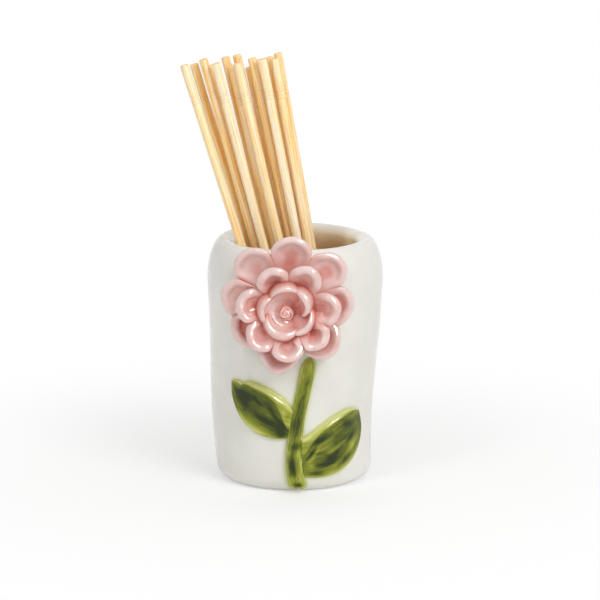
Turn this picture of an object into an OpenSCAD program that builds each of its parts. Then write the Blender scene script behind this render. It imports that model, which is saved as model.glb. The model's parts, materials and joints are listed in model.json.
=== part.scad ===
// Glazed ceramic cup for toothpicks, with a flower in relief on its front and a bundle of picks inside.
// Millimetres, +Z up, the front faces -Y, origin at the centre of the foot.

/* [Cup] */
// Height of the cup from foot to lip
cup_h = 70; // [60:1:90]
// Largest outside diameter, below the shoulder
body_d = 50; // [46:1:60]
// Outside diameter just above the rounded foot
base_d = 44.4; // [40:0.2:52]
// Radius of the rounded edge at the foot
foot_round = 4; // [2:0.5:6]
// Width of the flat ring that the cup stands on
foot_ring_w = 4; // [2:0.5:6]
// Depth of the recess inside that ring
foot_recess = 0.8; // [0.4:0.1:1.5]
// Thickness of the wall
wall_t = 4; // [3:0.25:5]
// Thickness of the floor
floor_t = 5; // [4:0.5:8]
// Radius of the fillet between floor and wall
floor_fillet = 2; // [1:0.5:4]
// Inside diameter of the mouth, at the rolled lip
mouth_d = 35.5; // [32:0.5:38]
// Radius of the rolled lip
lip_r = 2.5; // [1.5:0.25:3]
// Height of the rounded shoulder
shoulder_h = 12; // [8:1:16]

/* [Bloom] */
// Drop from the lip to the bloom's centre
bloom_drop = 14; // [10:0.5:18]
// Sideways place of the bloom's centre
bloom_x = -2.2; // [-5:0.1:5]
// Share of the wall's curve that the bloom bends along
bloom_hug = 0.8; // [0.6:0.05:0.95]
// Diameter of the clay pad behind the bloom
pad_d = 23; // [18:0.5:24]
// Thickness of the pad at its middle
pad_t = 1; // [0.6:0.1:2]
// Thickness of a petal
petal_t = 1.5; // [1.2:0.1:1.8]
// Gap between petals of one whorl
petal_gap = 0.3; // [0.2:0.05:0.5]
// Gap between one whorl and the next
whorl_gap = 0.25; // [0.2:0.05:0.4]
// Slip between the relief and the wall
slip_gap = 0.15; // [0.12:0.01:0.25]

/* [Outer petals] */
// Distance of the roots from the bloom's centre
outer_root = 6; // [5:0.25:7]
// Reach of the tips from the bloom's centre
outer_reach = 19; // [17:0.25:20]
// Radius of a petal's round end
outer_lobe = 6.4; // [5:0.1:7]
// Rise towards the tip, per millimetre
outer_tilt = 0.12; // [0.1:0.01:0.2]
// Depth of the bowl
outer_dish = 2.5; // [1.8:0.1:3]

/* [Middle petals] */
// Distance of the roots from the bloom's centre
middle_root = 3.5; // [3.2:0.1:4.5]
// Reach of the tips from the bloom's centre
middle_reach = 14.2; // [12:0.2:16]
// Radius of a petal's round end
middle_lobe = 5.1; // [4:0.1:5.5]
// Rise towards the tip, per millimetre
middle_tilt = 0.45; // [0.4:0.05:0.6]
// Depth of the bowl
middle_dish = 2.8; // [1.8:0.1:3]
// Drop of the whorl's centre below the bloom's centre
middle_drop = 0.5; // [0:0.1:0.6]

/* [Inner petals] */
// Distance of the lips from the whorl's centre
inner_ring = 6.4; // [6.2:0.1:7]
// Half width of a petal at its middle
inner_half_w = 1.3; // [0.8:0.1:1.4]
// Height of the tallest lip above the pad
inner_h = 8.7; // [7.5:0.1:9.5]
// Drop of the whorl's centre below the bloom's centre
inner_drop = 1; // [0.4:0.1:1.1]
// Radius of the rolled bud
bud_r = 2.4; // [1.8:0.1:2.6]
// Height of the rolled bud above the pad
bud_h = 6.4; // [5.5:0.1:7.5]

/* [Stem] */
// Drop from the bloom's centre to the top of the stem
stem_drop = 16; // [14:0.5:20]
// Height of the stem's lower end above the foot
stem_foot_z = 0.7; // [0.5:0.1:3]
// Width at the lower end
stem_foot_w = 5.6; // [4:0.1:7]
// Width half-way up
stem_mid_w = 4.1; // [3:0.1:5]
// Width at the top
stem_top_w = 4.8; // [3:0.1:5.5]
// Height of the stem's back above the wall
stem_h = 2.6; // [1.6:0.1:3.4]
// Length of each rounded end
stem_end = 2.5; // [1.5:0.1:4]

/* [Leaves] */
// Thickness of a leaf at its folded upper rim
leaf_t = 2.3; // [1.4:0.1:2.6]
// Gap between a leaf and the stem
leaf_gap = 0.25; // [0.2:0.05:0.4]
// Sideways reach of the left leaf
left_reach = 17.6; // [14:0.2:19]
// Rise of its tip above its lower corner
left_rise = 15.6; // [13:0.2:17]
// Length of its seam along the stem
left_seam = 8.4; // [6:0.2:10]
// Sideways reach of the right leaf
right_reach = 17.6; // [14:0.2:19]
// Rise of its tip above its lower corner
right_rise = 18.6; // [16:0.2:20]
// Length of its seam along the stem
right_seam = 11.8; // [9:0.2:13]

/* [Toothpicks] */
// Number of picks
pick_count = 16; // [8:1:20]
// Diameter of a pick
pick_d = 2.5; // [1.8:0.1:2.6]
// Length of a pick
pick_len = 119; // [95:1:150]
// Length of the pointed end
point_len = 12; // [8:1:16]
// Diameter at the very tip
point_d = 0.8; // [0.5:0.1:1.2]
// Distance of the first ring groove from the blunt end
groove_drop = 9.5; // [7:0.5:14]
// Depth of a ring groove
groove_depth = 0.12; // [0.05:0.01:0.2]
// Gap between neighbouring rows of picks at the floor
pick_gap = 0.3; // [0.25:0.05:0.6]
// Gap between neighbouring picks of one row at the floor
foot_fan = 0.45; // [0.3:0.05:1]
// Gap between neighbouring picks of one row at the lip
pick_fan = 2.8; // [2:0.1:3]
// Front-to-back place of the bundle's middle
bundle_y = -2.6; // [-3.5:0.1:1]
// Gap where a pick rests on the cup
rest_gap = 0.15; // [0.1:0.01:0.3]

/* [Hidden] */
$fn = 96;

// Cup, derived
body_r = body_d / 2;
base_r = base_d / 2;
mouth_r = mouth_d / 2;
foot_r = base_r - foot_round;
recess_r = foot_r - foot_ring_w;
shoulder_z = cup_h - shoulder_h;
crest_r = mouth_r + lip_r;
lip_z = cup_h - lip_r;
flare_h = shoulder_h - lip_r;
arc_steps = 10;

// Bloom, derived
bloom_z = cup_h - bloom_drop;
// Radius of the wall where it stands out most behind the bloom
bloom_r = max(body_r, wall_r(bloom_z - pad_d / 2));
// Height of a petal's rim at its root, as a share of its dish, and the share of the turn that it rises over
root_rim = 0.2;
rim_turn = 0.8;
// Share of a petal that is the flat floor of its bowl
bowl_floor = 0.3;
// How sharply a petal's outline changes from its round end to the sector's side
outline_power = 10;
// Ends of an upright petal: where its arch starts, how full it is, its width and its height
arch_start = 3;
arch_power = 0.6;
arch_end_w = 0.35;
arch_end_h = 0.7;
outer_angles = [-2, 40, 86, 129, 175, 214, 261, 316];
outer_trims = outer_reach * [0, 0.074, 0.032, 0.021, -0.037, -0.084, -0.026, 0.005];
middle_angles = [0, 58, 113, 175, 228, 273, 318];
middle_trims = middle_reach * [0.085, 0.014, -0.077, -0.014, -0.014, 0.014, 0.028];
inner_angles = [27, 97, 172, 248, 324];
inner_rings = inner_ring * [0.98, 1.02, 1.03, 0.98, 1.08];
inner_tops = inner_h * [1, 0.98, 0.9, 0.97, 0.92];
petal_sides = 22;
pad_sides = 32;
inner_steps = 14;
inner_sides = 12;

// Rings of a petal: share of its outline, then depth below its upper face as a share of its thickness
petal_rings = [
    [0.12, 0], [0.35, 0], [0.55, 0], [0.72, 0], [0.86, 0], [0.95, 0.05], [0.99, 0.2], [1, 0.5],
    [0.99, 0.8], [0.94, 0.96], [0.78, 1], [0.52, 1], [0.22, 1]
];

// Heights of the whorls above the wall: each one clears the one below it
pad_r = pad_d / 2;
pad_top = slip_gap + pad_t;
outer_base = pad_top + whorl_gap + petal_t - root_rim * outer_dish;
middle_base = outer_base + root_rim * outer_dish + petal_t + whorl_gap - middle_tilt * (outer_root - middle_root);
side_rim = 0.6 * middle_dish;
inner_base = middle_base + side_rim + whorl_gap;

// Bud: a neck through the middle whorl, a saucer above it and the rolled dome
neck_r = middle_root - petal_gap - inner_drop + middle_drop;
saucer_r = 0.7 * inner_ring;
saucer_low = middle_base + root_rim * middle_dish + middle_tilt * (saucer_r - middle_root) + whorl_gap;
saucer_t = 0.8 * petal_t;
bud_twist = 25;
bud_lobe = 0.08;

// Stem and leaves, derived
stem_top_z = bloom_z - stem_drop;
stem_course = stem_drop * [0.088, -0.15, 0.163, 0.28];
stem_steps = 22;
stem_sides = 9;
leaf_steps = 13;
leaf_tip_share = 0.97;
left_seam_share = 0.41;
right_seam_share = 0.12;
left_low_pull = [[0.45, -0.1], [1, 0.19]];
left_high_pull = [[0.09, 0.29], [0.51, 1.15]];
right_low_pull = [[0.51, -0.11], [1.3, 0.13]];
right_high_pull = [[0.23, 0.07], [0.45, 1.08]];

// Section of a leaf: place across it, then height as a share of its thickness
leaf_top = [
    [-1, 0.25], [-0.88, 0.48], [-0.6, 0.55], [-0.2, 0.5], [0.1, 0.42], [0.26, 0.3],
    [0.42, 0.7], [0.6, 1], [0.8, 0.9], [0.93, 0.65], [1, 0.3]
];
leaf_back = [for (place = leaf_top) [-place[0], 0]];

// Toothpicks, derived: the bundle stands on the floor at the right and leans on the lip at the left
pick_r = pick_d / 2;
row_order = [0, 2, 1, 3];
row_count = len(row_order);
row_fan = 0.2;
row_pitch = pick_d + pick_gap;
foot_pitch = pick_d + foot_fan;
rim_pitch = pick_d + pick_fan;
rim_sways = pick_d * [
    0, 0.12, 0.42, 0.35, 0.38, 0.57, 0.47, 0.47, 0.12, 0.32, 0.23, 0.1, 0.08, 0.07, 0, -0.17
];
pick_trims = pick_len * [
    0.012, 0.003, 0.013, -0.011, 0.003, 0.006, -0.012, 0.004,
    -0.003, -0.024, 0, -0.013, 0, -0.005, -0.006, -0.001
];
floor_r = wall_r(floor_t + floor_fillet) - wall_t - floor_fillet;
foot_x_last = floor_r - point_d / 2 - 2 * rest_gap;
foot_x_first = foot_x_last - (pick_count - 1) * foot_pitch / row_count;
first_lean = atan((foot_x_first + mouth_r - pick_d) / (lip_z - floor_t));
rim_reach = crest_r - (lip_r + pick_r + rest_gap) / cos(first_lean);
rim_x_first = -sqrt(pow(rim_reach, 2) - pow(row_y(0, row_pitch + row_fan), 2));
groove_count = 3;
groove_pitch = 0.9;
groove_w = 0.4;
pick_chamfer = 0.2;

ceramic_white = [0.93, 0.92, 0.89];
glaze_pink = [0.87, 0.66, 0.65];
glaze_deep_pink = [0.78, 0.5, 0.5];
glaze_green = [0.5, 0.54, 0.2];
pale_wood = [0.95, 0.83, 0.62];

function lerp(a, b, t) = a + (b - a) * t;

function bezier(p, t) = p[0] * pow(1 - t, 3) + 3 * p[1] * t * pow(1 - t, 2) + 3 * p[2] * pow(t, 2) * (1 - t)
    + p[3] * pow(t, 3);

// The smaller of two positive lengths, with a rounded change from one to the other
function soft_min(a, b) = a * b / pow(pow(a, outline_power) + pow(b, outline_power), 1 / outline_power);

function reversed(list) = [for (k = [len(list) - 1 : -1 : 0]) list[k]];

function centre_of(ring) = [for (k = [0 : 2]) [for (p = ring) p[k]] * [for (p = ring) 1] / len(ring)];

// Points of an elliptical arc
function arc_points(centre, rx, rz, from, to) = [
    for (i = [0 : arc_steps])
        let (a = lerp(from, to, i / arc_steps))
        [centre[0] + rx * cos(a), centre[1] + rz * sin(a)]
];

// Outside radius of the cup at a height
function wall_r(z) = z < foot_round
    ? foot_r + sqrt(pow(foot_round, 2) - pow(foot_round - z, 2))
    : z < shoulder_z
        ? lerp(base_r, body_r, (z - foot_round) / (shoulder_z - foot_round))
        : crest_r + (body_r - crest_r) * sqrt(max(0, 1 - pow((z - shoulder_z) / shoulder_h, 2)));

// Point at an arc length along the wall from the front, at a height, standing off by h
function on_wall(arc, z, h) =
    let (r = wall_r(z), a = arc / r * 180 / PI)
    [(r + h) * sin(a), -(r + h) * cos(a), z];

// Smooth change from 0 to 1
function ease(t) =
    let (c = min(1, max(0, t)))
    c * c * (3 - 2 * c);

// Point of the bloom: across, up and out from its centre, bent part of the way round the wall
function on_bloom(u, v, w) =
    let (x = bloom_x + u, bend = sqrt(max(0, pow(bloom_r, 2) - pow(x, 2))))
    [x, -lerp(bloom_r, bend, bloom_hug) - w, bloom_z + v];

// Point behind the bloom, on the wall itself
function behind_bloom(u, v) =
    let (x = bloom_x + u, z = bloom_z + v)
    [x, -sqrt(pow(wall_r(z), 2) - pow(x, 2)) - slip_gap, z];

function stem_share(z) = (z - stem_foot_z) / (stem_top_z - stem_foot_z);

function stem_w(share) = lerp(stem_foot_w, stem_top_w, share)
    - 4 * share * (1 - share) * ((stem_foot_w + stem_top_w) / 2 - stem_mid_w);

function stem_edge(z, side) = bezier(stem_course, stem_share(z)) + side * stem_w(stem_share(z)) / 2;

// Roundness of the stem's ends, from 0 at an end to 1 along its length
function stem_swell(z) =
    let (d = min(z - stem_foot_z, stem_top_z - z, stem_end) / stem_end)
    sqrt(1 - pow(1 - d, 2));

function row_y(row, pitch) = bundle_y + (row - (row_count - 1) / 2) * pitch;

function pick_name(m) = str("toothpick_", m < 9 ? "0" : "", m + 1);

// Tip of a pick on the floor, and the point where its middle passes the lip
function pick_foot(m) = [
    foot_x_last - (pick_count - 1 - m) * foot_pitch / row_count,
    row_y(row_order[m % row_count], row_pitch),
    floor_t + rest_gap + point_d / 2 * sin(first_lean)
];

function pick_rim(m) = [
    rim_x_first + m * rim_pitch / row_count + rim_sways[m % len(rim_sways)],
    row_y(row_order[m % row_count], row_pitch + row_fan),
    lip_z
];

// Closed solid through rings that all have the same number of points
module loft(rings) {
    n = len(rings[0]);
    last = len(rings) - 1;
    first_cap = n * len(rings);
    points = concat([for (ring = rings) each ring], [centre_of(rings[0]), centre_of(rings[last])]);
    sides = [
        for (k = [0 : last - 1], i = [0 : n - 1])
            let (j = (i + 1) % n, a = k * n, b = a + n)
            each [[a + i, b + j, a + j], [a + i, b + i, b + j]]
    ];
    caps = [
        for (i = [0 : n - 1])
            let (j = (i + 1) % n)
            each [[first_cap, i, j], [first_cap + 1, last * n + j, last * n + i]]
    ];
    polyhedron(points = points, faces = concat(sides, caps), convexity = 6);
}

module cup() {
    cavity_top_r = body_r - wall_t;
    outside = concat(
        arc_points([foot_r, foot_round], foot_round, foot_round, -90, 0),
        arc_points([crest_r, shoulder_z], body_r - crest_r, shoulder_h, 0, 90)
    );
    lip = arc_points([crest_r, lip_z], lip_r, lip_r, 90, 180);
    flare = [
        for (i = [1 : arc_steps])
            let (t = i / arc_steps)
            [lerp(mouth_r, cavity_top_r, (1 - cos(180 * t)) / 2), lip_z - flare_h * t]
    ];
    inside = arc_points([floor_r, floor_t + floor_fillet], floor_fillet, floor_fillet, 0, -90);
    recess = [[0, floor_t], [0, foot_recess], [recess_r - foot_recess, foot_recess], [recess_r, 0]];
    color(ceramic_white) rotate_extrude() polygon(concat(recess, outside, lip, flare, inside));
}

// One cupped petal of a whorl: a round end, kept inside the sector between its neighbours
module petal(angles, i, trim, root, reach, lobe, tilt, dish, base, drop) {
    n = len(angles);
    middle = reach + trim - lobe;
    after = (angles[(i + 1) % n] - angles[i] + 360) % 360 / 2;
    before = (angles[i] - angles[(i + n - 1) % n] + 360) % 360 / 2;
    rings = [
        for (ring = petal_rings) [
            for (k = [0 : petal_sides - 1])
                let (
                    a = 360 * k / petal_sides,
                    reach_at = cos(a) * (cos(a) > 0 ? lobe : middle - root),
                    sector = sin(a) > 0 ? after : before,
                    room = ((middle + reach_at) * sin(sector) - petal_gap / 2) / cos(sector),
                    s = ring[0] * reach_at,
                    t = ring[0] * sign(sin(a)) * soft_min(lobe * abs(sin(a)), room),
                    rim = dish * lerp(root_rim, 1, ease((1 + cos(a)) / 2 / rim_turn)),
                    bowl = rim * ease((ring[0] - bowl_floor) / (1 - bowl_floor)),
                    w = base + tilt * (middle + s - root) + bowl - petal_t * ring[1]
                )
                on_bloom(
                    (middle + s) * cos(angles[i]) - t * sin(angles[i]),
                    (middle + s) * sin(angles[i]) + t * cos(angles[i]) - drop,
                    w
                )
        ]
    ];
    loft(rings);
}

module outer_petal(i) {
    color(glaze_pink)
        petal(
            outer_angles, i, outer_trims[i], outer_root, outer_reach,
            outer_lobe, outer_tilt, outer_dish, outer_base, 0
        );
}

module middle_petal(i) {
    color(glaze_pink)
        petal(
            middle_angles, i, middle_trims[i], middle_root, middle_reach,
            middle_lobe, middle_tilt, middle_dish, middle_base, middle_drop
        );
}

// An upright petal round the bud: a crescent, steep inside and sloping away outside
module inner_petal(i) {
    n = len(inner_angles);
    slit = asin(petal_gap / 2 / saucer_r);
    first = inner_angles[i] - (inner_angles[i] - inner_angles[(i + n - 1) % n] + 360) % 360 / 2 + slit;
    last = inner_angles[i] + (inner_angles[(i + 1) % n] - inner_angles[i] + 360) % 360 / 2 - slit;
    top = pad_top + inner_tops[i];
    rings = [
        for (step = [0 : inner_steps])
            let (
                turn = lerp(first, last, step / inner_steps),
                arch = pow(sin(lerp(arch_start, 180 - arch_start, step / inner_steps)), arch_power),
                lip_r = inner_rings[i] + inner_half_w * (arch - 1) / 2,
                half_w = inner_half_w * lerp(arch_end_w, 1, arch),
                lip_h = top * lerp(arch_end_h, 1, arch)
            ) [
                for (k = [0 : inner_sides - 1])
                    let (
                        a = 360 * (k + 0.5) / inner_sides,
                        slope = max(0, cos(a)) * (1 - sin(a)) / 2,
                        r = lip_r + half_w * (cos(a) + slope),
                        low = inner_base + middle_tilt * (r - middle_root),
                        w = lerp(low, lip_h, (1 + sin(a)) / 2)
                    )
                    on_bloom(r * cos(turn), r * sin(turn) - inner_drop, w)
            ]
    ];
    color(glaze_pink) loft(rings);
}

module flower_pad() {
    steps = [for (k = [0 : pad_sides - 1]) -360 * k / pad_sides];
    back = [
        for (share = [0.15, 0.35, 0.55, 0.7, 0.82, 0.92, 1])
            [for (a = steps) behind_bloom(share * pad_r * cos(a), share * pad_r * sin(a))]
    ];
    front = [
        for (edge = [[1, petal_gap], [0.93, 0]])
            [for (a = steps) on_bloom(edge[0] * pad_r * cos(a), edge[0] * pad_r * sin(a), pad_top - edge[1])]
    ];
    color(glaze_deep_pink) loft(concat(back, front));
}

module flower_bud() {
    foot = pad_top + slip_gap;
    top = pad_top + bud_h;
    floor_w = saucer_low + saucer_t;
    rim_w = floor_w + saucer_t;
    outline = [
        [neck_r, foot], [neck_r, saucer_low - middle_tilt * (saucer_r - middle_root)], [saucer_r, saucer_low],
        [saucer_r, rim_w], [lerp(bud_r, saucer_r, 0.8), lerp(floor_w, rim_w, 0.5)], [1.05 * bud_r, floor_w],
        [bud_r, lerp(floor_w, top, 0.4)], [0.85 * bud_r, lerp(floor_w, top, 0.8)],
        [0.5 * bud_r, top], [0.2 * bud_r, lerp(floor_w, top, 0.8)]
    ];
    rings = [
        for (k = [0 : len(outline) - 1]) [
            for (i = [0 : petal_sides - 1])
                let (
                    a = -360 * i / petal_sides,
                    lobes = outline[k][0] > bud_r ? 0 : bud_lobe,
                    r = outline[k][0] * (1 - lobes * (1 - cos(3 * a + bud_twist * k)) / 2)
                )
                on_bloom(r * cos(a), r * sin(a) - inner_drop, outline[k][1])
        ]
    ];
    color(glaze_deep_pink) loft(rings);
}

module stem() {
    heights = [
        for (k = [0 : stem_steps])
            lerp(stem_foot_z, stem_top_z, (1 - cos(180 * (k + 0.5) / (stem_steps + 1))) / 2)
    ];
    rings = [
        for (z = heights)
            let (
                swell = stem_swell(z),
                middle = (stem_edge(z, -1) + stem_edge(z, 1)) / 2,
                half_w = swell * (stem_edge(z, 1) - stem_edge(z, -1)) / 2
            )
            concat(
                [
                    for (k = [0 : stem_sides])
                        let (a = 180 * k / stem_sides)
                        on_wall(middle + half_w * cos(a), z, slip_gap + swell * stem_h * sin(a))
                ],
                [for (share = [-0.5, 0, 0.5]) on_wall(middle + share * half_w, z, slip_gap)]
            )
    ];
    color(glaze_green) loft(rings);
}

// A folded leaf on one side of the stem: rims raised along both edges, a groove along the midrib
module leaf(side, seam_share, seam, reach, rise, low_pull, high_pull) {
    low_z = stem_top_z * seam_share;
    tip = [reach, rise];
    low = [
        [0, 0], [reach * low_pull[0][0], rise * low_pull[0][1]],
        [reach * low_pull[1][0], rise * low_pull[1][1]], tip
    ];
    high = [
        [0, seam], [reach * high_pull[0][0], seam + rise * high_pull[0][1]],
        [reach * high_pull[1][0], rise * high_pull[1][1]], tip
    ];
    section = side > 0 ? concat(leaf_top, leaf_back) : reversed(concat(leaf_top, leaf_back));
    rings = [
        for (k = [0 : leaf_steps])
            let (t = leaf_tip_share * k / leaf_steps, under = bezier(low, t), over = bezier(high, t)) [
                for (place = section)
                    let (
                        across = (place[0] + 1) / 2,
                        flat_point = lerp(under, over, across),
                        edge = lerp(stem_edge(low_z + seam * across, side), stem_edge(low_z, side), t)
                    )
                    on_wall(
                        edge + side * (leaf_gap + flat_point[0]),
                        low_z + flat_point[1],
                        slip_gap + leaf_t * place[1]
                    )
            ]
    ];
    color(glaze_green) loft(rings);
}

module leaf_left() {
    leaf(-1, left_seam_share, left_seam, left_reach, left_rise, left_low_pull, left_high_pull);
}

module leaf_right() {
    leaf(1, right_seam_share, right_seam, right_reach, right_rise, right_low_pull, right_high_pull);
}

module toothpick(m) {
    foot = pick_foot(m);
    course = pick_rim(m) - foot;
    length = pick_len + pick_trims[m % len(pick_trims)];
    grooves = [
        for (k = [groove_count - 1 : -1 : 0])
            let (z = length - groove_drop - k * groove_pitch)
            each [[pick_r, z - groove_w / 2], [pick_r - groove_depth, z], [pick_r, z + groove_w / 2]]
    ];
    outline = concat(
        [[0, 0], [point_d / 2, 0], [pick_r, point_len]],
        grooves,
        [[pick_r, length - pick_chamfer], [pick_r - pick_chamfer, length], [0, length]]
    );
    color(pale_wood)
        translate(foot)
            rotate([0, acos(course[2] / norm(course)), atan2(course[1], course[0])])
                rotate_extrude() polygon(outline);
}

cup();
flower_pad();
flower_bud();
for (i = [0 : len(outer_angles) - 1])
    outer_petal(i);
for (i = [0 : len(middle_angles) - 1])
    middle_petal(i);
for (i = [0 : len(inner_angles) - 1])
    inner_petal(i);
stem();
leaf_left();
leaf_right();
for (m = [0 : pick_count - 1])
    toothpick(m);
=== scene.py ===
"""Dresses the toothpick holder: a glazed ceramic cup with a flower in relief, and a bundle of wooden picks.

Lengths below are millimetres in the frame of the CAD model. They become metres where a mesh is made.
Only the lamps and the floor under the cup are given in metres.
"""

import json
import math

import bpy
import numpy as np
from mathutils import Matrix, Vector
from mathutils.bvhtree import BVHTree


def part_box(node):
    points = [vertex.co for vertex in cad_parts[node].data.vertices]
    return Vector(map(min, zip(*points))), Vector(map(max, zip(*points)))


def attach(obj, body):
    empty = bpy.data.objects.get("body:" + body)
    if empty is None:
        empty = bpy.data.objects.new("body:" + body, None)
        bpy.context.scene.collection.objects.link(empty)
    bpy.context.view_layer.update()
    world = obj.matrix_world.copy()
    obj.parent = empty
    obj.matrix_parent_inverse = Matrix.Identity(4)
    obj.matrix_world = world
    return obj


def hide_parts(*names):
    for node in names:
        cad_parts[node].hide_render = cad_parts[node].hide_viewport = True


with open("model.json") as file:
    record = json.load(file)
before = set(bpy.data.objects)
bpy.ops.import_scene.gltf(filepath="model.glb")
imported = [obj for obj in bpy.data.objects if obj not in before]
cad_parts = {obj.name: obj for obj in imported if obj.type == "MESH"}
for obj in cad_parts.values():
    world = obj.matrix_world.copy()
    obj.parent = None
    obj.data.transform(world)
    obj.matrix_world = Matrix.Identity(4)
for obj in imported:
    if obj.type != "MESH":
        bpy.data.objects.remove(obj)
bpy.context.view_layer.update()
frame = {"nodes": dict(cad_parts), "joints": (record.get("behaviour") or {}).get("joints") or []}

MM = 0.001

# Cup
cup_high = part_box("cup")[1]
CUP_H = cup_high.z / MM
BODY_R = cup_high.x / MM
BASE_R = 22.2
FOOT_ROUND = 4.0
FOOT_RING_W = 4.0
FOOT_RECESS = 0.8
WALL_T = 4.0
FLOOR_T = 5.0
FLOOR_FILLET = 2.0
MOUTH_R = 17.75
LIP_R = 2.5
SHOULDER_H = 12.0
FOOT_R = BASE_R - FOOT_ROUND
RECESS_R = FOOT_R - FOOT_RING_W
SHOULDER_Z = CUP_H - SHOULDER_H
CREST_R = MOUTH_R + LIP_R
LIP_Z = CUP_H - LIP_R
CUP_SIDES = 288
CENTRE_R = 0.5
RECESS_EDGE = [(2.0, 1.0), (1.0, 0.9), (0.4, 0.4), (0.0, 0.125), (-0.75, 0.0)]

# Hand-formed unevenness of the cup
SWAY = -0.85
SWAY_Z = 21.0
SWAY_SPAN = 16.0
OVAL = 0.004
OVAL_TURN = 0.6
TRILOBE = 0.003
TRILOBE_TWIST = 23.0
RIGHT_SWELL = 0.024
RIGHT_START = 0.8
LIP_SWELLS = [(90, 25, 0.6), (258, 20, 1.6)]
LIP_TOUCH = 290
LIP_TOUCH_RUN = 12

# Glaze of the cup: painted shade, a warm beige like light bounced off the picks, grows with depth from the
# lip down and is held back on the left inside, painted lit; colour bleeds from the relief
LIP_DEPTH = 0.03
LEFT_PAINTED_LIGHT = 0.14
INSIDE_LEAST = 0.001
BARE_ROWS = 2
GREEN_BLEED = 0.85
GREEN_BLEED_REACH = 1.1
PINK_BLEED = 0.6
PINK_BLEED_REACH = 1.2

# Bloom
BLOOM_X = -2.2
BLOOM_Z = CUP_H - 14.0
BLOOM_HUG = 0.8
PAD_R = 11.5
PAD_TOP = 1.15
PAD_ROUND = 1.0
PAD_SUNK = 1.2
PAD_BACK = [0.2, 0.6, 1.0]

# Cupped petals of the outer and middle whorl
PETAL_SIDES = 72
PETAL_RINGS = 24
PETAL_START = 0.03
PETAL_T = 1.5
PETAL_LAP = 0.2
TIP_SHARP = 6
LIP_W = 1.9
LIP_TURNS = 9
LIP_ROWS = 4
LEAST_BOWL = 0.3
BOWL_OVER = 1.02
EDGE_WAVES = [(0.025, 2, 2.1), (0.015, 3, 1.3)]
RIM_WAVES = [(0.12, 2, 1.9), (0.06, 5, 2.3)]
SOFTNESS = 14
CREASE_FROM = 0.72
CREASE_FILL = 0.92
POOL_FADE = 0.25
POOL_FADE_LEAST = 0.2
BACK_POOL = 0.3
OUTER = {
    "angles": [-2, 40, 84, 129, 175, 214, 261, 316],
    "trims": [0, 1.4, 1.2, 0.4, -0.7, -1.6, -0.5, 0.1],
    "widths": [1, 1, 0.9, 1, 1, 1, 1, 1],
    # darkness of each bowl: gathered glaze together with painted shade where the bowl lies in shade
    "pool_and_shade_levels": [1.3, 1.2, 1.3, 1.0, 1.2, 1.7, 1.0, 1.1],
    "spreads": [0.7, 0.25, 0.15, 0.1, 0.05, 0.75, 0.7, 0.7],
    "points": [0.02, 0, 0, 0.02, 0.05, 0.06, 0.14, 0.02],
    "rolls": [0.06, -0.05, 0.03, -0.08, -0.2, 0.04, -0.03, 0.05],
    "root": 6.0, "reach": 19.0, "lobe": 6.4, "tilt": 0.12, "dish": 2.5, "base": 2.4, "drop": 0.0,
    "lip": 1.9, "round": 0.85, "turn": 1.1,
}
MIDDLE = {
    "angles": [0, 58, 113, 175, 228, 273, 318],
    "trims": [1.2, 0.2, -1.1, -0.2, -0.2, 0.2, 0.4],
    "widths": [1, 1, 1, 1, 1, 1, 1],
    # darkness of each bowl: gathered glaze together with painted shade where the bowl lies in shade
    "pool_and_shade_levels": [1.1, 0.6, 0.5, 0.9, 1.0, 0.7, 1.0],
    "spreads": [0.3, 0.2, 0.15, 0.1, 0.1, 0.1, 0.3],
    "points": [0, 0.03, 0, 0, 0.05, 0, 0.03],
    "rolls": [0.06, -0.05, 0.03, 0.07, -0.06, 0.04, -0.03],
    "root": 3.5, "reach": 14.2, "lobe": 5.1, "tilt": 0.45, "dish": 2.8, "base": 3.3, "drop": 0.5,
    "lip": 2.2, "round": 0.65, "turn": 0.8,
}

# Upright petals of the inner whorl
INNER_RINGS = 60
INNER_STEPS = 16
INNER_TURNS = 10
INNER_END = 0.99
INNER_LIP_ARC = [165, 15]
WIDTH_WAVES = [(0.12, 4, 2.3)]
CREST_WAVES = [(0.12, 5, 1.7)]
INSIDE_FADE = 0.8
FLANK_POOL = 0.9
END_POOL = 0.7
INNER = {
    "angles": [27, 97, 172, 248, 324],
    "spans": [44, 46, 44, 58, 44],
    "lips": [6.3, 6.5, 6.4, 6.3, 7.0],
    "tops": [9.9, 9.7, 9.0, 9.6, 9.2],
    "widths": [1.3, 1.0, 1.15, 1.5, 1.1],
    "spirals": [0.9, -0.5, 0.5, 0.2, 0.4],
    "foot": 4.6, "floor": 5.0, "floor_r": 2.7, "drop": 1.0, "bow": 0.9, "bow_from": 0.6, "blunt": 0.6,
    "end_w": 0.35, "end_h": 2.2, "roll": 0.8, "seat": 1.3, "sag": 0.8, "steep": 1.6, "lift": 0.3,
    "flank": 1.3, "spread": 1.9, "under": 0.6,
}

# Bud, the cavity round it and the small fold beside it
BUD_R = 2.4
BUD_FOOT = 2.0
BUD_TOP = 7.0
BUD_DROP = 1.6
BUD_RINGS = 30
BUD_SHARES = (0.99, 0.04)
BUD_SEAT = 0.1
BUD_PITCH = 0.95
BUD_RIDGE = 0.3
BUD_WOBBLE = 0.5
BUD_LUMP = 0.35
BUD_LUMP_TURN = 5
BUD_CALM = 0.3
BUD_POOL = 0.5
BUD_VALLEY = 1.2
CAVITY_RINGS = 26
CAVITY_LOW = 4.7
CAVITY_R = 6.6
CAVITY_RISE = 3.4
CAVITY_DIP = math.radians(324)
CAVITY_DIP_DEPTH = 0.35
CAVITY_DIP_SHARP = 4
# Painted shade of the cavity: a mean level and a swing, darker towards the right
CAVITY_SHADE_MEAN = 0.3
CAVITY_SHADE = 1.1
CAVITY_SHADE_TURN = math.radians(15)
FOLD_TURN = math.radians(232)
FOLD_SPAN = math.radians(42)
FOLD_R = 3.7
FOLD_W = 0.5
FOLD_RISE = 1.3
FOLD_BACK_R = 5.1
FOLD_BACK_W = 0.8
FOLD_BACK_POOL = 1.6

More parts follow.
